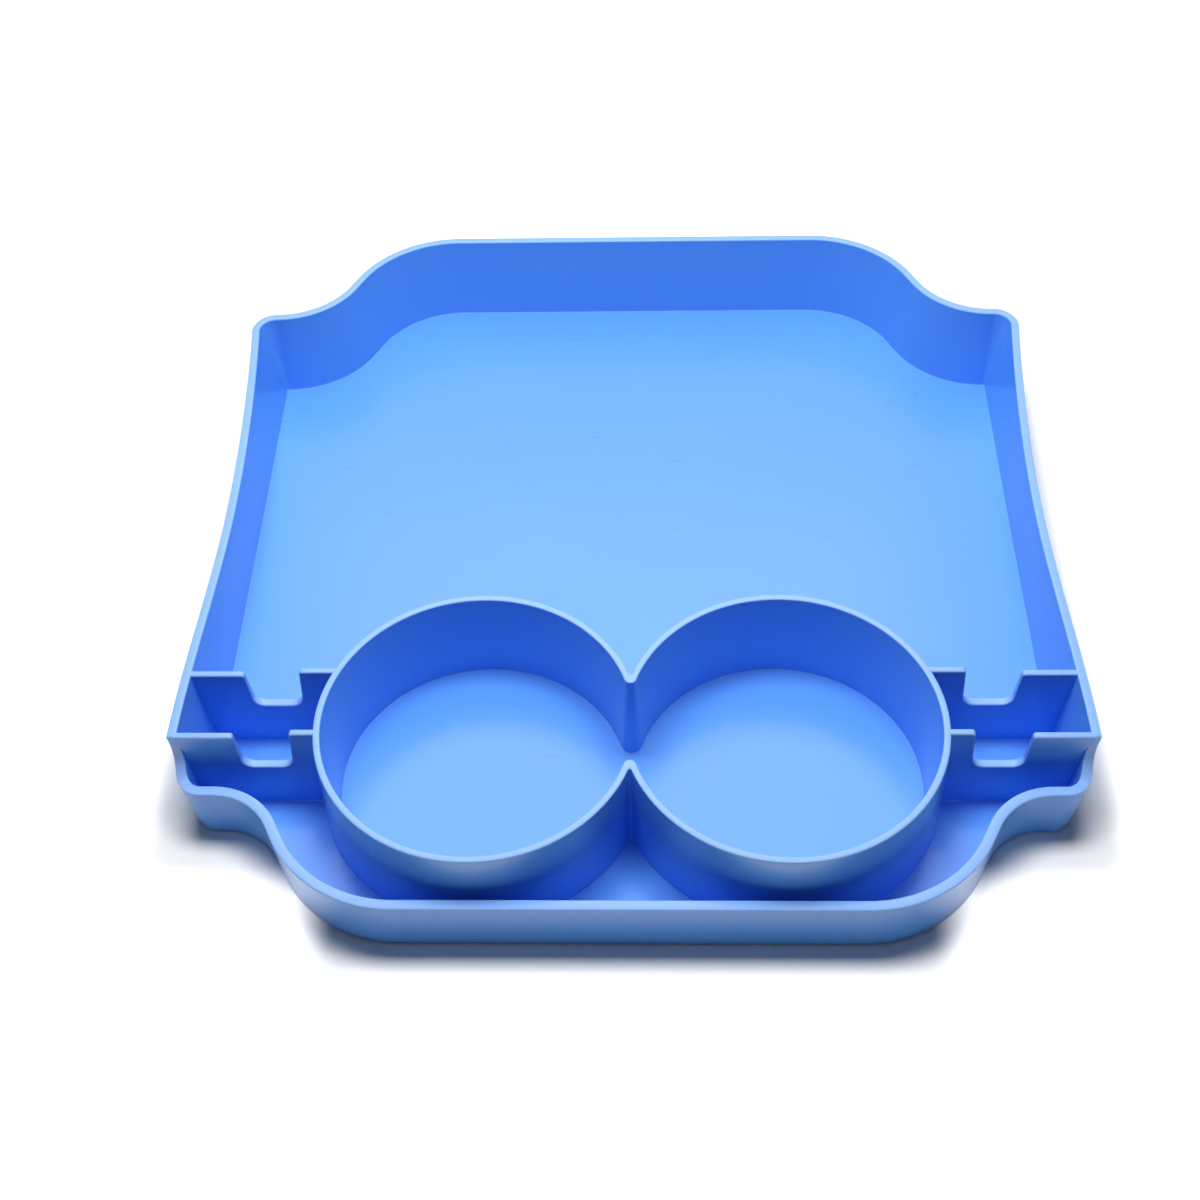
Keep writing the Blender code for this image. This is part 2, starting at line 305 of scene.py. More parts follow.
@dataclass(frozen=True)
class Ogee:
    """S-shaped bend in plan, from a straight wall to the shoulder beside a corner."""

    bulge_radius: float
    turn: float
    straight: float
    hollow_radius: float


@dataclass(frozen=True)
class WallLevel:
    """Outer face of the walls at one height: insets, half-widths, corner radii, step's place."""

    rear_inset: float
    front_inset: float
    rear_half: float
    waist_half: float
    front_half: float
    rear_corner: float
    front_corner: float
    step_ahead: float


@dataclass(frozen=True)
class Generator:
    """A straight line up the slanted outer face: its ends on the table and at rim height."""

    foot: Vector
    rim: Vector
    foot_inwards: Vector
    rim_inwards: Vector

    def mixed(self, other: Generator, share: float) -> Generator:
        """A generator a share of the way to another one."""
        return Generator(self.foot.lerp(other.foot, share), self.rim.lerp(other.rim, share),
                         self.foot_inwards.lerp(other.foot_inwards, share).normalized(),
                         self.rim_inwards.lerp(other.rim_inwards, share).normalized())


@dataclass(frozen=True)
class Column:
    """One station of the outer wall: where its rim lies, and where its foot lies."""

    top: Generator
    foot: Generator
    height: float
    along: Vector
    lean: tuple[float, float]


@dataclass
class OuterWall:
    """Wall round the whole tray: tall at the rear and sides, low along the front."""

    outer_rim: float
    front_rim: float = 23.1       # fitted to the photo, 0.5 above the solid's
    thickness: float = 3.1
    front_thickness: float = 3.6  # fitted too, 0.5 more than the solid's
    rear_y: float = 153.5
    front_y: float = -153.5
    rear_straight: float = 72.0   # half-length of the straight rear wall
    front_straight: float = 72.6
    waist_y: float = -2.0         # where the side walls' rims are drawn in most
    side_pull: float = 0.33       # handles of a side's curve, as a share of its length
    rear_lean: float = 0.62       # share of its draw that a side's rear handle turns in by
    step_radius: float = 10.5     # hollow at the foot of the step down to the front
    step_y: float = DIVIDER_PLACES["front"]
    step_edge: float = 1.0        # round on the step's top edge
    rim_round: float = 0.5
    bottom_round: float = 1.2
    fillet: float = 0.35
    floor_joint: float = 2.0      # from the foot's outer face to where the wall meets the floor
    rear_ogee: Ogee = Ogee(bulge_radius=44.5, turn=64.0, straight=6.0, hollow_radius=30.0)
    front_ogee: Ogee = Ogee(bulge_radius=45.8, turn=62.5, straight=5.9, hollow_radius=21.2)
    foot_level: WallLevel = WallLevel(rear_inset=3.9, front_inset=0.8, rear_half=145.35,
                                      waist_half=145.35, front_half=144.7, rear_corner=3.75,
                                      front_corner=7.6, step_ahead=2.45)
    rim_level: WallLevel = WallLevel(rear_inset=0.0, front_inset=-0.48, rear_half=150.8,
                                     waist_half=145.0, front_half=148.7, rear_corner=9.2,
                                     front_corner=9.0, step_ahead=1.125)
    bend_facet: float = 2.5       # most degrees that a facet of an ogee turns
    corner_facet: float = 5.0     # and a facet of a corner
    least_shoulder: float = 0.5   # a shorter straight before a corner gets no point of its own
    straight_facets: int = 8
    side_facets: int = 26
    stub_facets: int = 10         # facets of the low wall between the step and the front corner
    fan_behind: float = 12.0      # length of rim behind the step whose feet are spread out
    fan_facets: int = 6
    edge_facets: int = 6
    hollow_facets: int = 18
    station_gap: float = 0.5      # a station nearer than this to the spread ones is left out
    generators: list[Generator] = field(init=False)
    travel: list[float] = field(init=False)
    step_travel: float = field(init=False)

    def __post_init__(self) -> None:
        """Work out the generators of the right half, from the rear middle to the front middle."""
        feet, step_index = self.plan_line(self.foot_level)
        rims, _ = self.plan_line(self.rim_level)
        inwards = [self.inwards_of(feet), self.inwards_of(rims)]
        self.generators = [Generator(f, r, fi, ri) for f, r, fi, ri in zip(feet, rims, *inwards)]
        self.travel = [0.0]
        for before, after in zip(rims, rims[1:]):
            self.travel.append(self.travel[-1] + (after - before).length)
        self.step_travel = self.travel[step_index]

    def corner_line(self, start_x: float, straight_y: float, shape: Ogee, inset: float,
                    half_width: float, radius: float) -> list[Vector]:
        """Ogee and the corner after it, as they lie at the rear right.

        Args:
            start_x: Where the straight wall ends.
            straight_y: How far back the straight wall is.
            shape: The ogee's radii and turn.
            inset: How far the line is moved inwards.
            half_width: Half-width of the tray at the corner's end.
            radius: Radius of the corner.

        Returns:
            Plan points from the straight wall to the side wall.
        """
        turn = math.radians(shape.turn)
        outwards = Vector((math.sin(turn), math.cos(turn)))
        along = Vector((math.cos(turn), -math.sin(turn)))
        bulge_centre = Vector((start_x, straight_y - shape.bulge_radius))
        hollow_centre = (bulge_centre + outwards * (shape.bulge_radius + shape.hollow_radius)
                         + along * shape.straight)
        bulge = arc(bulge_centre, shape.bulge_radius - inset, 90.0, 90.0 - shape.turn,
                    self.bend_facet)
        hollow = arc(hollow_centre, shape.hollow_radius + inset, 270.0 - shape.turn, 270.0,
                     self.bend_facet)
        corner = arc(Vector((half_width - radius, hollow[-1].y - radius)), radius, 90.0, 0.0,
                     self.corner_facet)
        if corner[0].x - hollow[-1].x < self.least_shoulder:
            return bulge + hollow + corner[1:]
        return bulge + hollow + [hollow[-1].lerp(corner[0], 0.5)] + corner

    def side_line(self, end: Vector, waist: Vector, lean: float) -> list[Vector]:
        """Curve along a side from one end to the waist, where it runs parallel to Y.

        Args:
            end: Where it starts.
            waist: Where it ends.
            lean: How far it turns towards the waist at its start, as a share of its draw.

        Returns:
            Plan points, both ends included.
        """
        along = Vector((0.0, (waist.y - end.y) * self.side_pull))
        across = Vector(((waist.x - end.x) * lean, 0.0))
        points = []
        for i in range(self.side_facets + 1):
            t = i / self.side_facets
            u = 1.0 - t
            nearer_end = end * u ** 3 + (end + along + across) * 3 * t * u * u
            points.append(nearer_end + (waist - along) * 3 * t * t * u + waist * t ** 3)
        return points

    def plan_line(self, level: WallLevel) -> tuple[list[Vector], int]:
        """Outer face of the right half at one level, from the rear middle to the front middle.

        Args:
            level: The level's measurements.

        Returns:
            The points, and the index of the one at the step down to the front.
        """
        rear = self.corner_line(self.rear_straight, self.rear_y, self.rear_ogee, level.rear_inset,
                                level.rear_half, level.rear_corner)
        front = [Vector((p.x, -p.y)) for p in reversed(self.corner_line(
            self.front_straight, -self.front_y, self.front_ogee, level.front_inset,
            level.front_half, level.front_corner))]
        waist = Vector((level.waist_half, self.waist_y))
        step = Vector((level.front_half, self.step_y - level.step_ahead))
        side = self.side_line(rear[-1], waist, self.rear_lean)
        side += self.side_line(step, waist, 0.0)[-2::-1]
        stub = [step.lerp(front[0], i / self.stub_facets) for i in range(1, self.stub_facets)]
        rear_middle = [Vector((rear[0].x * i / self.straight_facets, rear[0].y))
                       for i in range(self.straight_facets)]
        front_middle = [Vector((front[-1].x * i / self.straight_facets, front[-1].y))
                        for i in reversed(range(self.straight_facets))]
        to_step = rear_middle + rear + side[1:]
        return to_step + stub + front + front_middle, len(to_step) - 1

    @staticmethod
    def inwards_of(points: Sequence[Vector]) -> list[Vector]:
        """Directions in plan that point into the tray.

        Args:
            points: A line round the right half, from the rear middle to the front middle.

        Returns:
            One unit vector for each point.
        """
        before = Vector((-points[1].x, points[1].y))
        after = Vector((-points[-2].x, points[-2].y))
        padded = [before, *points, after]
        found = []
        for previous, point, following in zip(padded, padded[1:], padded[2:]):
            along = (point - previous).normalized() + (following - point).normalized()
            found.append(Vector((along.y, -along.x)).normalized())
        return found

    def generator_at(self, travel: float) -> Generator:
        """The generator at a place on the rim.

        Args:
            travel: Distance along the rim from the rear middle.

        Returns:
            A mix of the two generators beside that place.
        """
        for index in range(len(self.travel) - 1):
            if travel <= self.travel[index + 1]:
                span = self.travel[index + 1] - self.travel[index]
                share = (travel - self.travel[index]) / span
                return self.generators[index].mixed(self.generators[index + 1], max(0.0, share))
        return self.generators[-1]

    def rim_path(self) -> list[tuple[float, float]]:
        """The rim's course past the step, as pairs of travel and height.

        Returns:
            Points from before the step, over its rounded edge, down and round its hollow.
        """
        step, edge, hollow = self.step_travel, self.step_edge, self.step_radius
        path = [(step - self.fan_behind * (1 - i / self.fan_facets), self.outer_rim)
                for i in range(self.fan_facets)]
        for i in range(self.edge_facets + 1):
            angle = math.pi / 2 * i / self.edge_facets
            path.append((step - edge + edge * math.sin(angle),
                         self.outer_rim - edge + edge * math.cos(angle)))
        start = self.front_rim + hollow
        for i in range(self.hollow_facets + 1):
            angle = math.pi / 2 * i / self.hollow_facets
            path.append((step + hollow * (1 - math.cos(angle)), start - hollow * math.sin(angle)))
        return path

    def right_columns(self) -> list[Column]:
        """Stations of the right half, from the rear middle to the front middle.

        Returns:
            The columns, with the feet of those at the step spread out along the wall.
        """
        path = self.rim_path()
        lengths = [0.0]
        for (s0, z0), (s1, z1) in zip(path, path[1:]):
            lengths.append(lengths[-1] + math.hypot(s1 - s0, z1 - z0))
        first, last = path[0][0], path[-1][0]
        gap = self.station_gap
        spots = [(s, self.outer_rim, s) for s in self.travel if s < first - gap]
        for (s, z), length in zip(path, lengths):
            spots.append((s, z, first + (last - first) * length / lengths[-1]))
        spots += [(s, self.front_rim, s) for s in self.travel if s > last + gap]
        columns = []
        for index, (s, z, foot_s) in enumerate(spots):
            before = spots[max(0, index - 1)]
            after = spots[min(len(spots) - 1, index + 1)]
            run, rise = after[0] - before[0], after[1] - before[1]
            size = math.hypot(run, rise)
            top = self.generator_at(s)
            along = Vector((-top.rim_inwards.y, top.rim_inwards.x))
            columns.append(Column(top, self.generator_at(foot_s), z, along,
                                  (-rise / size, run / size)))
        return columns

    def point(self, column: Column, mirror: float, corner: SectionPoint) -> Vector:
        """Where a corner of the section lies at a column.

        Args:
            column: The station.
            mirror: 1 on the right half and -1 on the left.
            corner: The corner of the section.

        Returns:
            The point, in millimetres.
        """
        lowered = (self.outer_rim - column.height) / (self.outer_rim - self.front_rim)
        thickness = self.thickness + (self.front_thickness - self.thickness) * lowered
        inset = corner.inset if corner.face is Face.OUTER else thickness - corner.inset
        if corner.depth is None:
            generator, height, slide = column.foot, corner.height, 0.0
        else:
            generator = column.top
            height = column.height - corner.depth * column.lean[1]
            slide = -corner.depth * column.lean[0]
        foot = generator.foot + generator.foot_inwards * inset
        rim = generator.rim + generator.rim_inwards * inset
        place = foot.lerp(rim, height / self.outer_rim) + column.along * slide
        return Vector((place.x * mirror, place.y, height))

    def section(self) -> list[SectionPoint]:
        """The wall's section, which stands on the table outside and on the floor inside.

        Returns:
            Section points from the joint with the floor, under the wall and over its rim.
        """
        low = self.bottom_round
        bottom = [SectionPoint(Face.OUTER, self.floor_joint, height=FLOOR_TOP - HIDDEN_DEPTH),
                  SectionPoint(Face.OUTER, self.floor_joint, height=0.0)]
        for i in range(ROUND_STEPS + 1):
            angle = math.pi / 2 * (1 - i / ROUND_STEPS)
            bottom.append(SectionPoint(Face.OUTER, low * (1 - math.cos(angle)),
                                       height=low * (1 - math.sin(angle))))
        bottom.append(SectionPoint(Face.OUTER, 0.0, height=low + SUPPORT))
        return bottom + over_rim(self.rim_round) + foot_fillet(Face.INNER, self.fillet)

    def build(self) -> bpy.types.Object:
        """Sweep the section once round the tray.

        Returns:
            The finished wall.
        """
        right = [(column, 1.0) for column in self.right_columns()]
        left = [(column, -1.0) for column, _ in reversed(right[1:-1])]
        loop = right + left
        sweep = Sweep("outer_wall", len(loop), self.section(),
                      lambda station, corner: self.point(*loop[station], corner))
        return sweep.build(joined=True)

    def inner_half_width(self, y: float, height: float) -> float:
        """Half-width of the tray's inside between its side walls.

        Args:
            y: Where it is measured.
            height: How high it is measured.

        Returns:
            Distance from the middle of the tray to the wall's inner face.
        """
        share = height / self.outer_rim
        places = []
        for g in self.generators:
            foot = g.foot + g.foot_inwards * self.thickness
            rim = g.rim + g.rim_inwards * self.thickness
            places.append(foot.lerp(rim, share))
        crossing = [a.lerp(b, (a.y - y) / (a.y - b.y)).x for a, b in zip(places, places[1:])
                    if a.y >= y > b.y and a.x > self.rear_straight]
        return crossing[0]


@dataclass
class TrayFloor:
    """The level floor, which reaches into the foot of the outer wall."""

    wall: OuterWall

    def build(self) -> bpy.types.Object:
        """Fill the line inside the wall's foot and give it its thickness.

        Returns:
            The finished floor.
        """
        right = [g.foot + g.foot_inwards * self.wall.floor_joint for g in self.wall.generators]
        left = [Vector((-p.x, p.y)) for p in reversed(right[1:-1])]
        line = right + left
        bm = bmesh.new()
        ring = bmesh.ops.create_circle(bm, cap_ends=True, segments=len(line), radius=1.0)
        for vertex, place in zip(ring["verts"], line):
            vertex.co = Vector((place.x, place.y, 0.0)) * MM
        grown = bmesh.ops.extrude_face_region(bm, geom=list(bm.faces))["geom"]
        lifted = [g for g in grown if isinstance(g, bmesh.types.BMVert)]
        bmesh.ops.translate(bm, vec=Vector((0.0, 0.0, FLOOR_TOP)) * MM, verts=lifted)
        bmesh.ops.triangulate(bm, faces=[f for f in bm.faces if len(f.verts) > 4])
        return finished_piece("tray_floor", bm)


@dataclass
class CupWells:
    """Two round tapered cup wells that meet, and open to each other between two noses."""

    rim: float
    well_x: float = 49.2
    well_y: float = -94.0
    rim_inner: float = 50.0
    rim_outer: float = 52.25
    foot_inner: float = 48.1
    foot_outer: float = 53.2
    rim_nose: float = 14.9        # from the middle of the opening to a nose's tip, at the rim
    foot_nose: float = 12.3
    valley_radius: float = 0.5    # hollow outside, where the two wells meet
    least_valley: float = 0.12
    rim_round: float = 0.45
    fillet: float = 0.3
    round_facets: int = 96
    nose_facets: int = 10

    def share_up(self, height: float) -> float:
        """How far up the wells' wall a height is, from 0 at the floor to 1 at the rim."""
        return (height - FLOOR_TOP) / (self.rim - FLOOR_TOP)

    def radius(self, face: Face, height: float) -> float:
        """Radius of a face of the wells at a height."""
        foot, rim = ((self.foot_inner, self.rim_inner) if face is Face.INNER
                     else (self.foot_outer, self.rim_outer))
        return foot + (rim - foot) * self.share_up(height)

    def nose_radius(self, height: float) -> float:
        """Radius of the nose between the wells, which is tangent to both.

        Args:
            height: How high it is measured.

        Returns:
            The radius of the nose's inner face.
        """
        tip = self.foot_nose + (self.rim_nose - self.foot_nose) * self.share_up(height)
        radius = self.radius(Face.INNER, height)
        return (tip ** 2 + self.well_x ** 2 - radius ** 2) / (2 * (radius - tip))

    def point(self, station: int, corner: SectionPoint) -> Vector:
        """Where a corner of the section lies at a station of the figure of eight.

        Args:
            station: Counted from the front of the right well, round it to the rear, over the
                rear nose, round the left well and back over the front nose.
            corner: The corner of the section.

        Returns:
            The point, in millimetres.
        """
        height = corner.height if corner.depth is None else self.rim - corner.depth
        if corner.face is Face.INNER:
            round_radius = self.radius(Face.INNER, height) + corner.inset
            small_radius = self.nose_radius(height) - corner.inset
        else:
            round_radius = self.radius(Face.OUTER, height) - corner.inset
            small_radius = max(self.valley_radius + corner.inset, self.least_valley)
        reach = math.sqrt((round_radius + small_radius) ** 2 - self.well_x ** 2)
        turn = math.atan2(reach, -self.well_x)
        half = self.round_facets + self.nose_facets
        lap, step = divmod(station, half)
        if step < self.round_facets:
            angle = -turn + 2 * turn * step / self.round_facets
            x = self.well_x + round_radius * math.cos(angle)
            y = round_radius * math.sin(angle)
        else:
            share = (step - self.round_facets) / self.nose_facets
            span = math.atan2(self.well_x, reach)
            angle = -math.pi / 2 + span * (1 - 2 * share)
            x = small_radius * math.cos(angle)
            y = reach + small_radius * math.sin(angle)
        sign = 1.0 if lap == 0 else -1.0
        return Vector((sign * x, self.well_y + sign * y, height))

    def build(self) -> bpy.types.Object:
        """Sweep the wall's section round both wells.

        Returns:
            The finished wells.
        """
        stations = 2 * (self.round_facets + self.nose_facets)
        section = standing_section(self.rim_round, self.fillet)
        return Sweep("cup_wells", stations, section, self.point).build(joined=True)

    def inside_wall(self, y: float) -> float:
        """Distance from the middle of the tray to the middle of a well's wall at y."""
        middle = (self.rim_inner + self.rim_outer) / 2
        return self.well_x + math.sqrt(middle ** 2 - (y - self.well_y) ** 2)


@dataclass
class Divider:
    """Cross wall from a cup well to the side wall, with one deep notch in its top."""

    side: Side
    place: str
    y: float
    wells: CupWells
    wall: OuterWall
    top_half: float = 1.125       # from the middle plane to either face, at the top
    front_foot_half: float = 2.3
    rear_foot_half: float = 1.6
    inner_top: float = 38.68      # height on the notch's well side
    outer_top: float = 36.98      # and on its wall side
    notch_inner_top: float = 109.0
    notch_inner_foot: float = 109.8
    notch_outer_top: float = 127.3
    notch_outer_foot: float = 126.5
    notch_floor: float = 21.3
    notch_radius: float = 4.0
    edge_radius: float = 1.2
    rim_round: float = 0.6
    fillet: float = 0.4
    reach: float = 1.0            # how far its outer end goes into the side wall
    inner_facets: int = 4
    outer_facets: int = 5
    edge_facet: float = 15.0      # degrees that a facet of the notch's top edges turns
    notch_facet: float = 7.5      # and a facet of its bottom corners

    @property
    def name(self) -> str:
        """Name of the piece."""
        return f"{self.side.label}_{self.place}_divider_wall"

    @property
    def node(self) -> str:
        """Name of the node that it stands for."""
        return f"{self.side.label}_{self.place}_divider"

    def crest(self) -> list[Vector]:
        """Front view of the divider's top, from the cup well out to the side wall.

        Returns:
            Points with X and height.
        """
        radius, edge = self.notch_radius, self.edge_radius
        start = self.wells.inside_wall(self.y)
        end = self.wall.inner_half_width(self.y, self.outer_top) + self.reach
        line = [Vector((start + (self.notch_inner_top - edge - start) * i / self.inner_facets,
                        self.inner_top)) for i in range(self.inner_facets)]
        line += arc(Vector((self.notch_inner_top - edge, self.inner_top - edge)), edge,
                    90.0, 0.0, self.edge_facet)
        line += arc(Vector((self.notch_inner_foot + radius, self.notch_floor + radius)), radius,
                    180.0, 270.0, self.notch_facet)
        line += arc(Vector((self.notch_outer_foot - radius, self.notch_floor + radius)), radius,
                    -90.0, 0.0, self.notch_facet)
        line += arc(Vector((self.notch_outer_top + edge, self.outer_top - edge)), edge,
                    180.0, 90.0, self.edge_facet)
        first = self.notch_outer_top + edge
        line += [Vector((first + (end - first) * i / self.outer_facets, self.outer_top))
                 for i in range(1, self.outer_facets + 1)]
        return line

    def half_thickness(self, face: Face, height: float) -> float:
        """Distance from the divider's middle plane to its front or rear face at a height."""
        foot = self.front_foot_half if face is Face.OUTER else self.rear_foot_half
        return foot + (self.top_half - foot) * self.wells.share_up(height)

    def build(self) -> bpy.types.Object:
        """Sweep the section along the crest, with the feet spread evenly along the floor.

        Returns:
            The finished divider.
        """
        crest = self.crest()
        lengths = [0.0]
        for before, after in zip(crest, crest[1:]):
            lengths.append(lengths[-1] + (after - before).length)
        across = []
        for index in range(len(crest)):
            run = crest[min(index + 1, len(crest) - 1)] - crest[max(index - 1, 0)]
            across.append(Vector((-run.y, run.x)).normalized())
        foot_start = self.wells.inside_wall(self.y)
        foot_end = self.wall.inner_half_width(self.y, FLOOR_TOP) + self.reach
        spread = [foot_start + (foot_end - foot_start) * length / lengths[-1]
                  for length in lengths]

        def point(station: int, spot: SectionPoint) -> Vector:
            """Where a corner of the section lies at a station of the crest.

            Args:
                station: Counted along the crest from the cup well.
                spot: The corner of the section.

            Returns:
                The point, in millimetres.
            """
            if spot.depth is None:
                x, height = spread[station], spot.height
            else:
                below = crest[station] - across[station] * spot.depth
                x, height = below.x, below.y
            sign = -1.0 if spot.face is Face.OUTER else 1.0
            out = self.half_thickness(spot.face, height) - spot.inset
            return Vector((self.side.value * x, self.y + sign * out, height))

        section = standing_section(self.rim_round, self.fillet)
        return Sweep(self.name, len(crest), section, point).build(joined=False)


def srgb(code: str) -> tuple[float, float, float, float]:
    """Turn an sRGB colour into a linear one.

    Args:
        code: The colour as a hash sign and six hex digits.

    Returns:
        Linear red, green, blue and alpha.
    """
    parts = [int(code[i:i + 2], 16) / 255 for i in (1, 3, 5)]
    linear = [p / 12.92 if p <= 0.04045 else ((p + 0.055) / 1.055) ** 2.4 for p in parts]
    return (*linear, 1.0)


def add_node(tree: bpy.types.NodeTree, kind: str, settings: dict[str, object] | None = None,
             inputs: dict[str | int, object] | None = None) -> bpy.types.Node:
    """Add a node with its settings, and its inputs' values or links.

    Args:
        tree: The node tree.
        kind: Blender's name for the kind of node.
        settings: Properties of the node.
        inputs: Input name or number to a value, or to the output socket that feeds it.

    Returns:
        The node.
    """
    node = tree.nodes.new(kind)
    for key, value in (settings or {}).items():
        setattr(node, key, value)
    for key, value in (inputs or {}).items():
        if isinstance(value, bpy.types.NodeSocket):
            tree.links.new(value, node.inputs[key])
        else:
            node.inputs[key].default_value = value
    return node


@dataclass(frozen=True)
class SatinPlastic:
    """Injection-moulded polypropylene from a fine-blasted mould, coloured right through.

    The eye sees one even sky blue with a soft, broad sheen, a barely visible grain, rims whose
    upward-facing tops are painted paler as a highlight, and a few faint scratches and specks.
    """

    colour: str = "#63a7fa"
    shade: str = "#60a3f8"
    # paler colour painted on the rims' upward-facing tops as a highlight
    rim_highlight_colour: str = "#8bbafd"
    highlight_steep: float = -0.1       # upward part of the normal below which a rim gets no painted highlight
    rim_level: float = 0.35       # and from which it gets the painted highlight fully
    floor_level: float = 0.9      # upward part of the normal from which scratches show
    mark_colour: str = "#2c62b8"
    roughness: float = 0.24
    specular_level: float = 0.61  # moulded gloss skin, somewhat above the plain resin's
    mottle_mm: float = 45.0
    mottle_detail: float = 3.0
    grain_mm: float = 0.8         # a blasted mould's real grain is finer, too fine to show
    grain_detail: float = 4.0
    grain_depth_mm: float = 0.004
    grain_strength: float = 0.4
    scratch_width_mm: float = 0.9     # of the noise, whose peaks are the finer scratches
    scratch_length_mm: float = 16.0
    scratch_turn: float = 35.0
    scratch_from: float = 0.79    # noise level where a scratch starts, high so that few show
    scratch_to: float = 0.85
    scratch_share: float = 0.2    # share of the mark's colour in a scratch
    speck_spacing_mm: float = 24.0
    speck_radius_mm: float = 0.45

    def build(self) -> bpy.types.Material:
        """Make the material.

        Returns:
            The plastic.
        """
        made = bpy.data.materials.new("satin_moulded_polypropylene")
        made.use_nodes = True
        tree = made.node_tree
        tree.nodes.clear()
        place = add_node(tree, "ShaderNodeTexCoord")
        mottle = add_node(tree, "ShaderNodeTexNoise", {},
                          {"Vector": place.outputs["Object"], "Scale": 1 / (self.mottle_mm * MM),
                           "Detail": self.mottle_detail})
        tint = add_node(tree, "ShaderNodeMix", {"data_type": "RGBA"},
                        {MIX_SHARE: mottle.outputs["Fac"], MIX_FROM: srgb(self.shade),
                         MIX_TO: srgb(self.colour)})
        normal = add_node(tree, "ShaderNodeSeparateXYZ", {}, {0: place.outputs["Normal"]})
        upward = normal.outputs["Z"]
        # painted highlight: the rims' upward-facing tops turn paler, in place of the sheen they
        # catch
        highlighted = add_node(tree, "ShaderNodeMix", {"data_type": "RGBA"},
                          {MIX_SHARE: self.painted_highlight(tree, upward), MIX_FROM: tint.outputs[MIX_RESULT],
                           MIX_TO: srgb(self.rim_highlight_colour)})
        marked = add_node(tree, "ShaderNodeMix", {"data_type": "RGBA"},
                          {MIX_SHARE: self.marks(tree, place.outputs["Object"], upward),
                           MIX_FROM: highlighted.outputs[MIX_RESULT], MIX_TO: srgb(self.mark_colour)})
        grain = add_node(tree, "ShaderNodeTexNoise", {},
                         {"Vector": place.outputs["Object"], "Scale": 1 / (self.grain_mm * MM),
                          "Detail": self.grain_detail})
        bump = add_node(tree, "ShaderNodeBump", {},
                        {"Height": grain.outputs["Fac"], "Strength": self.grain_strength,
                         "Distance": self.grain_depth_mm * MM})
        shader = add_node(tree, "ShaderNodeBsdfPrincipled", {},
                          {"Base Color": marked.outputs[MIX_RESULT], "Roughness": self.roughness,
                           "Specular IOR Level": self.specular_level,
                           "Normal": bump.outputs["Normal"]})
        add_node(tree, "ShaderNodeOutputMaterial", {}, {"Surface": shader.outputs["BSDF"]})
        return made

    def painted_highlight(self, tree: bpy.types.NodeTree,
             upward: bpy.types.NodeSocket) -> bpy.types.NodeSocket:
        """Painted highlight on the rims' upward-facing tops, which the steep sides of a notch
        hardly get.

        Args:
            tree: The material's node tree.
            upward: Output with the upward part of the surface's normal.

        Returns:
            Output that is 1 where a rim's top is painted as a highlight and 0 elsewhere.
        """
        rim = add_node(tree, "ShaderNodeAttribute", {"attribute_name": RIM_HIGHLIGHT_LAYER})
        level = add_node(tree, "ShaderNodeMapRange", {},
                         {"Value": upward, "From Min": self.highlight_steep,
                          "From Max": self.rim_level})
        both = add_node(tree, "ShaderNodeMath", {"operation": "MULTIPLY"},
                        {0: rim.outputs["Fac"], 1: level.outputs["Result"]})
        return both.outputs[0]

    def marks(self, tree: bpy.types.NodeTree, place: bpy.types.NodeSocket,
              upward: bpy.types.NodeSocket) -> bpy.types.NodeSocket:
        """Sparse specks, and fine scratches on what lies level.

        Args:
            tree: The material's node tree.
            place: Output with Object coordinates.
            upward: Output with the upward part of the surface's normal.

        Returns:
            Output that is 0 on clean plastic and rises towards 1 on a mark.
        """
        across, along = 1 / (self.scratch_width_mm * MM), 1 / (self.scratch_length_mm * MM)
        turn = (0.0, 0.0, math.radians(self.scratch_turn))
        stretched = add_node(tree, "ShaderNodeMapping", {},
                             {"Vector": place, "Rotation": turn, "Scale": (along, across, along)})
        streaks = add_node(tree, "ShaderNodeTexNoise", {},
                           {"Vector": stretched.outputs["Vector"], "Scale": 1.0, "Detail": 0.0})
        scratches = add_node(tree, "ShaderNodeMapRange", {},
                             {"Value": streaks.outputs["Fac"], "From Min": self.scratch_from,
                              "From Max": self.scratch_to, "To Max": self.scratch_share})
        cells = add_node(tree, "ShaderNodeTexVoronoi", {},
                         {"Vector": place, "Scale": 1 / (self.speck_spacing_mm * MM)})
        edge = self.speck_radius_mm / self.speck_spacing_mm
        specks = add_node(tree, "ShaderNodeMapRange", {},
                          {"Value": cells.outputs["Distance"], "From Min": edge,
                           "From Max": edge / 2})
        level = add_node(tree, "ShaderNodeMath", {"operation": "GREATER_THAN"},
                         {0: upward, 1: self.floor_level})
        lying = add_node(tree, "ShaderNodeMath", {"operation": "MULTIPLY"},
                         {0: scratches.outputs["Result"], 1: level.outputs[0]})
        both = add_node(tree, "ShaderNodeMath", {"operation": "MAXIMUM"},
                        {0: lying.outputs[0], 1: specks.outputs["Result"]})
        return both.outputs[0]


@dataclass(frozen=True)
class Softbox:
    """Flat rectangular lamp that faces straight down; metres and watts."""

    name: str
    place: tuple[float, float, float]
    width: float
    depth: float
    power: float
    mirrored: bool = True         # whether the gloss of the plastic shows it

    def build(self) -> None:
        """Hang the lamp at its place."""
        lamp = bpy.data.lights.new(self.name, "AREA")
        lamp.shape = "RECTANGLE"
        lamp.size, lamp.size_y = self.width, self.depth
        lamp.energy = self.power
        made = add_object(self.name, lamp)
        made.location = self.place
        made.visible_glossy = self.mirrored


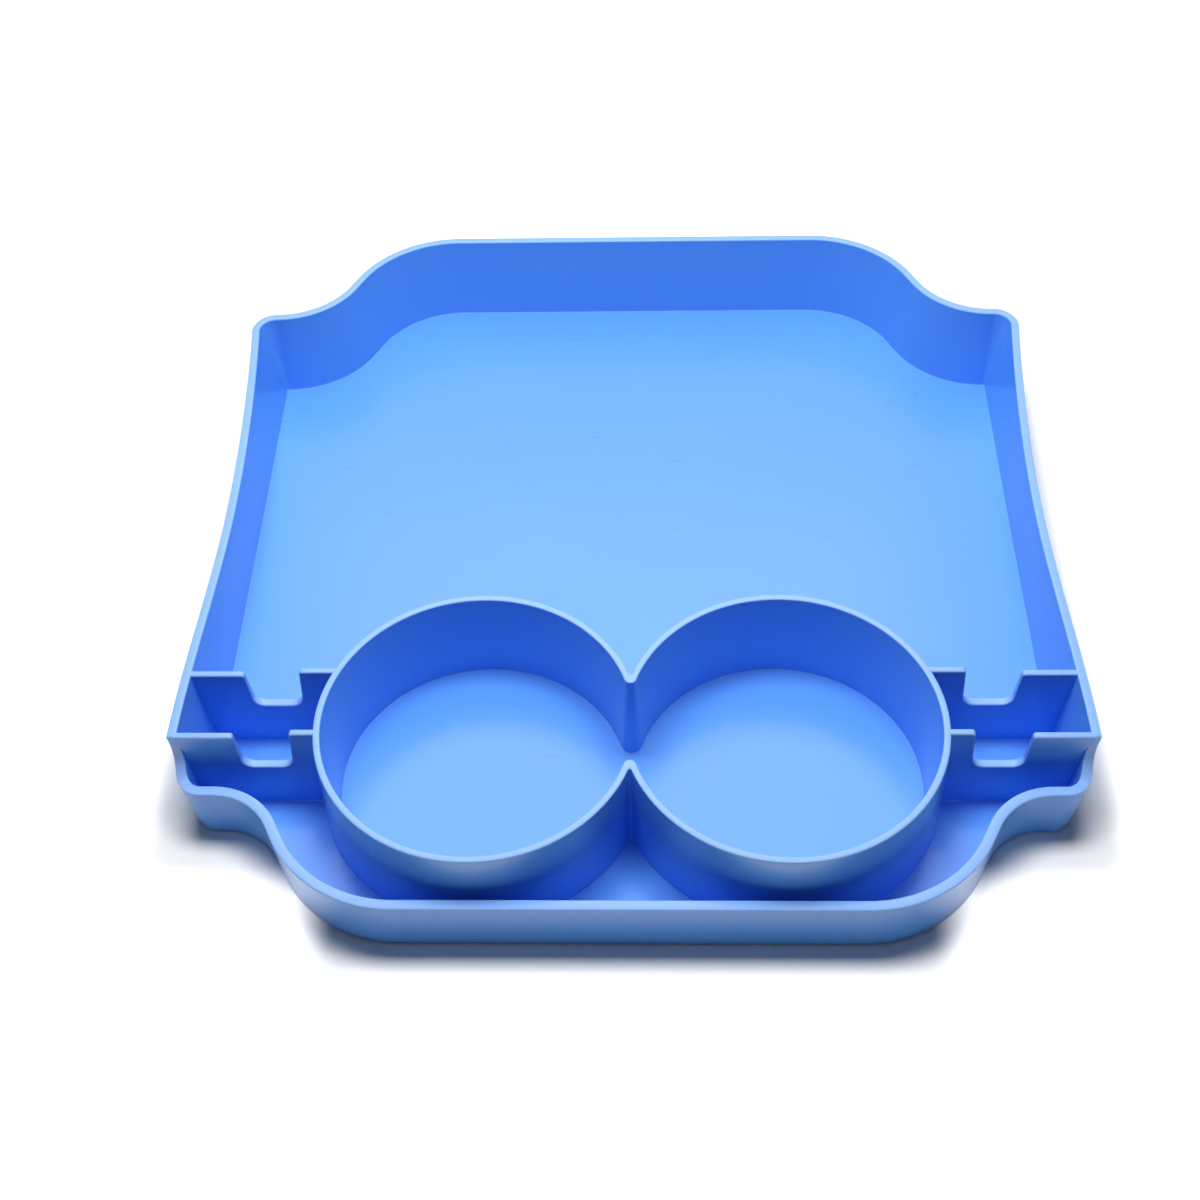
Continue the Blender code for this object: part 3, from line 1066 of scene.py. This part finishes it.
@dataclass(frozen=True)
class Studio:
    """White table and white surroundings, lit by a softbox overhead and a weaker one behind.

    The overhead box models the walls and gives the short shadow in front, and the gloss doesn't
    show it. The rear one is seen in the satin floor as a pale sheen, stronger towards the front.
    """

    white: str = "#ffffff"
    boxes: tuple[Softbox, ...] = (
        Softbox("overhead_softbox", (-0.022, 0.03, 0.66), width=0.4, depth=0.18, power=4.08,
                mirrored=False),
        Softbox("rear_softbox", (-0.022, 0.39, 0.66), width=0.55, depth=0.55, power=1.9))
    ambient: float = 0.042        # strength of the surroundings' light, where 1 is white
    table_half: float = 3.0
    table_drop: float = 0.0001    # gap that keeps the table clear of the tray's underside
    shoulder_y: float = -0.118    # front end of the tray's wide body, behind the drawn-in corners
    bay_half: float = 0.09        # half-width of the narrower front bay
    white_from: float = 0.004     # distance from the tray where the paper's painted glow starts to clear its shadow
    white_to: float = 0.022       # and from which the paper is pure white

    def build(self) -> None:
        """Make the table, the lights and the surroundings."""
        self.add_table()
        for box in self.boxes:
            box.build()
        self.add_surroundings()

    def add_table(self) -> None:
        """A plain pale table under the tray."""
        paper = self.table_paper()
        bm = bmesh.new()
        bmesh.ops.create_grid(bm, x_segments=1, y_segments=1, size=self.table_half)
        mesh = bpy.data.meshes.new("table")
        bm.to_mesh(mesh)
        bm.free()
        table = add_object("table", mesh)
        table.location.z = -self.table_drop
        mesh.materials.append(paper)
        table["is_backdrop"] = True

    def table_paper(self) -> bpy.types.Material:
        """Matt white paper that also glows white for camera and reflection rays, a painted light
        that grows with the distance from the tray and clears the outer part of its shadow.

        Returns:
            The paper.
        """
        made = bpy.data.materials.new("white_table_paper")
        made.use_nodes = True
        tree = made.node_tree
        tree.nodes.clear()
        low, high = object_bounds()
        place = add_node(tree, "ShaderNodeTexCoord").outputs["Object"]
        body = self.clearance(tree, place, Vector((low.x, self.shoulder_y)), high.xy)
        bay = self.clearance(tree, place, Vector((-self.bay_half, low.y)),
                             Vector((self.bay_half, high.y)))
        distance = add_node(tree, "ShaderNodeMath", {"operation": "MINIMUM"}, {0: body, 1: bay})
        white = add_node(tree, "ShaderNodeMapRange", {"interpolation_type": "SMOOTHSTEP"},
                         {"Value": distance.outputs[0], "From Min": self.white_from,
                          "From Max": self.white_to})
        strength = add_node(tree, "ShaderNodeMath", {"operation": "MULTIPLY"},
                            {0: white.outputs["Result"], 1: self.seen_directly(tree)})
        # painted light: the paper glows, more with the distance from the tray, and lightens its
        # shadow's edge
        glow = add_node(tree, "ShaderNodeEmission", {}, {"Strength": strength.outputs[0]})
        paper = add_node(tree, "ShaderNodeBsdfDiffuse", {}, {"Color": srgb(self.white)})
        surface = add_node(tree, "ShaderNodeAddShader", {},
                           {0: paper.outputs[0], 1: glow.outputs[0]})
        add_node(tree, "ShaderNodeOutputMaterial", {}, {"Surface": surface.outputs[0]})
        return made

    @staticmethod
    def clearance(tree: bpy.types.NodeTree, place: bpy.types.NodeSocket, low: Vector,
                  high: Vector) -> bpy.types.NodeSocket:
        """Distance in plan from a rectangle.

        Args:
            tree: The material's node tree.
            place: Output with Object coordinates.
            low: The rectangle's lowest X and Y.
            high: Its highest X and Y.

        Returns:
            Output that is 0 over the rectangle and grows with the distance from it.
        """
        centre, half = (low + high) / 2, (high - low) / 2
        moved = add_node(tree, "ShaderNodeVectorMath", {"operation": "SUBTRACT"},
                         {0: place, 1: (*centre, 0.0)})
        mirrored = add_node(tree, "ShaderNodeVectorMath", {"operation": "ABSOLUTE"},
                            {0: moved.outputs[0]})
        past = add_node(tree, "ShaderNodeVectorMath", {"operation": "SUBTRACT"},
                        {0: mirrored.outputs[0], 1: (*half, 0.0)})
        clear = add_node(tree, "ShaderNodeVectorMath", {"operation": "MAXIMUM"},
                         {0: past.outputs[0], 1: (0.0, 0.0, 0.0)})
        distance = add_node(tree, "ShaderNodeVectorMath", {"operation": "LENGTH"},
                            {0: clear.outputs[0]})
        return distance.outputs["Value"]

    @staticmethod
    def seen_directly(tree: bpy.types.NodeTree) -> bpy.types.NodeSocket:
        """Whether the camera, a reflection or clear material sees the surface.

        Args:
            tree: The node tree of a material or the world.

        Returns:
            Output that is 1 for camera, glossy and transmission rays, and 0 for the rest.
        """
        path = add_node(tree, "ShaderNodeLightPath")
        mirror = add_node(tree, "ShaderNodeMath", {"operation": "MAXIMUM"},
                          {0: path.outputs["Is Glossy Ray"],
                           1: path.outputs["Is Transmission Ray"]})
        seen = add_node(tree, "ShaderNodeMath", {"operation": "MAXIMUM"},
                        {0: path.outputs["Is Camera Ray"], 1: mirror.outputs[0]})
        return seen.outputs[0]

    def add_surroundings(self) -> None:
        """White where the camera or a reflection sees it, and a weak even light on the tray."""
        world = bpy.data.worlds.new("white_room")
        bpy.context.scene.world = world
        world.use_nodes = True
        tree = world.node_tree
        tree.nodes.clear()
        strength = add_node(tree, "ShaderNodeMapRange", {},
                            {"Value": self.seen_directly(tree), "To Min": self.ambient,
                             "To Max": 1.0})
        light = add_node(tree, "ShaderNodeBackground", {},
                         {"Color": srgb(self.white), "Strength": strength.outputs["Result"]})
        add_node(tree, "ShaderNodeOutputWorld", {}, {"Surface": light.outputs["Background"]})


@dataclass(frozen=True)
class PhotoCamera:
    """Camera at the photograph's place: above the front of the tray, looking down and back.

    Its lens and sensor are in millimetres, and its angles in degrees.
    """

    lens: float = 49.98
    sensor: float = 36.0
    place: tuple[float, float, float] = (0.006735, -0.404459, 0.471032)
    pitch: float = 50.153         # downwards from level
    yaw: float = 2.728            # leftwards from straight back
    roll: float = -2.272
    nearest: float = 0.01
    farthest: float = 20.0

    def build(self) -> None:
        """Make the camera and look through it."""
        data = bpy.data.cameras.new("camera")
        data.lens = self.lens
        data.sensor_width = self.sensor
        data.sensor_fit = "AUTO"
        data.clip_start, data.clip_end = self.nearest, self.farthest
        camera = add_object("camera", data)
        pitch, yaw, roll = (math.radians(a) for a in (self.pitch, self.yaw, self.roll))
        forward = Vector((-math.sin(yaw) * math.cos(pitch), math.cos(yaw) * math.cos(pitch),
                          -math.sin(pitch)))
        level = Vector((math.cos(yaw), math.sin(yaw), 0.0))
        upright = level.cross(forward)
        right = level * math.cos(roll) + upright * math.sin(roll)
        up = upright * math.cos(roll) - level * math.sin(roll)
        axes = Matrix((right, up, -forward)).transposed()
        camera.matrix_world = Matrix.Translation(self.place) @ axes.to_4x4()
        bpy.context.scene.camera = camera


WALL_NODES = ("rear_wall", "left_rear_corner", "right_rear_corner", "left_side_wall",
              "right_side_wall", "front_wall", "left_front_corner", "right_front_corner")
WELL_NODES = ("left_cup_well", "right_cup_well")


def add_to_tray(piece: bpy.types.Object, plastic: bpy.types.Material, *nodes: str) -> None:
    """Dress a piece and let it stand for its nodes.

    Args:
        piece: The piece.
        plastic: Its material.
        nodes: The nodes that it stands for.
    """
    piece.data.materials.clear()
    piece.data.materials.append(plastic)
    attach(piece, BODY)
    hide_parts(*nodes)
    piece.data.calc_loop_triangles()
    log.info("%s: %d triangles", piece.name, len(piece.data.loop_triangles))


def node_top(node: str) -> float:
    """Height of a node's top, in millimetres."""
    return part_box(node)[1].z / MM


def main() -> None:
    """Build and dress the tray, and light it."""
    logging.basicConfig(level=logging.INFO, format="%(message)s")
    for old in list(bpy.data.objects):
        bpy.data.objects.remove(old, do_unlink=True)
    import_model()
    PhotoCamera().build()
    plastic = SatinPlastic().build()
    wall = OuterWall(outer_rim=node_top("rear_wall"))
    wells = CupWells(rim=node_top("left_cup_well"))
    add_to_tray(TrayFloor(wall).build(), plastic, "floor_panel")
    add_to_tray(wall.build(), plastic, *WALL_NODES)
    add_to_tray(wells.build(), plastic, *WELL_NODES)
    for side in Side:
        for place, y in DIVIDER_PLACES.items():
            divider = Divider(side, place, y, wells, wall)
            add_to_tray(divider.build(), plastic, divider.node)
    Studio().build()
    bpy.context.scene.view_settings.view_transform = "Standard"


if __name__ == "__main__":
    main()
